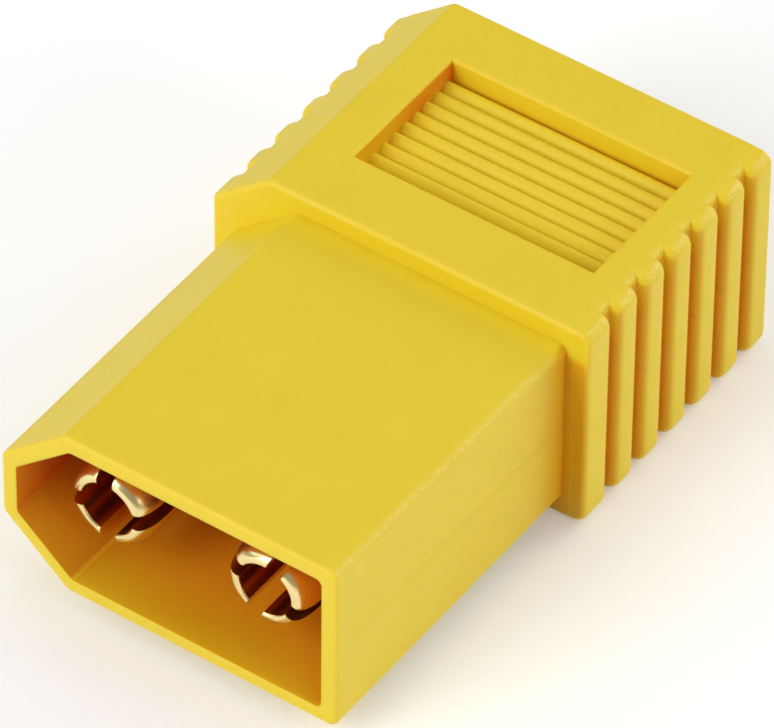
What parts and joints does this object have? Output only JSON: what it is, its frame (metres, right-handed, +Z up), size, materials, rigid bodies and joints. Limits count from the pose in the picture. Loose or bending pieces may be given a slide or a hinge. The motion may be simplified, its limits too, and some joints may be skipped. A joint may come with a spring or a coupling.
{
  "type": "battery connector adapter",
  "caption": "Yellow moulded battery connector adapter: keyed shroud with split gold bullet pins at the front, ribbed grip block behind it and a crossed-slot socket at the rear.",
  "frame": {"origin": "centre of the bounding box's bottom, so under the middle of the length, at the height of the grip's underside", "axes": "+Y along the adapter, from the pins' mouth to the rear socket; +Z up, through the grip's recessed face; +X towards the square (positive) side, -X towards the side with the two key chamfers"},
  "size_m": [0.018, 0.0284, 0.0103],
  "materials": {
    "yellow_plastic": "satin moulded nylon",
    "gold_plate": "bright gold plating",
    "spring_steel": "bright rolled strip",
    "solder": "dull solder"
  },
  "bodies": {
    "root": {"housing": "yellow_plastic", "bullet_pin_positive": "gold_plate", "bullet_pin_negative": "gold_plate", "socket_contact_positive": "gold_plate", "socket_contact_negative": "gold_plate", "leaf_spring_positive": "spring_steel", "leaf_spring_negative": "spring_steel", "solder_joint_positive": "solder", "solder_joint_negative": "solder"}
  },
  "joints": []
}
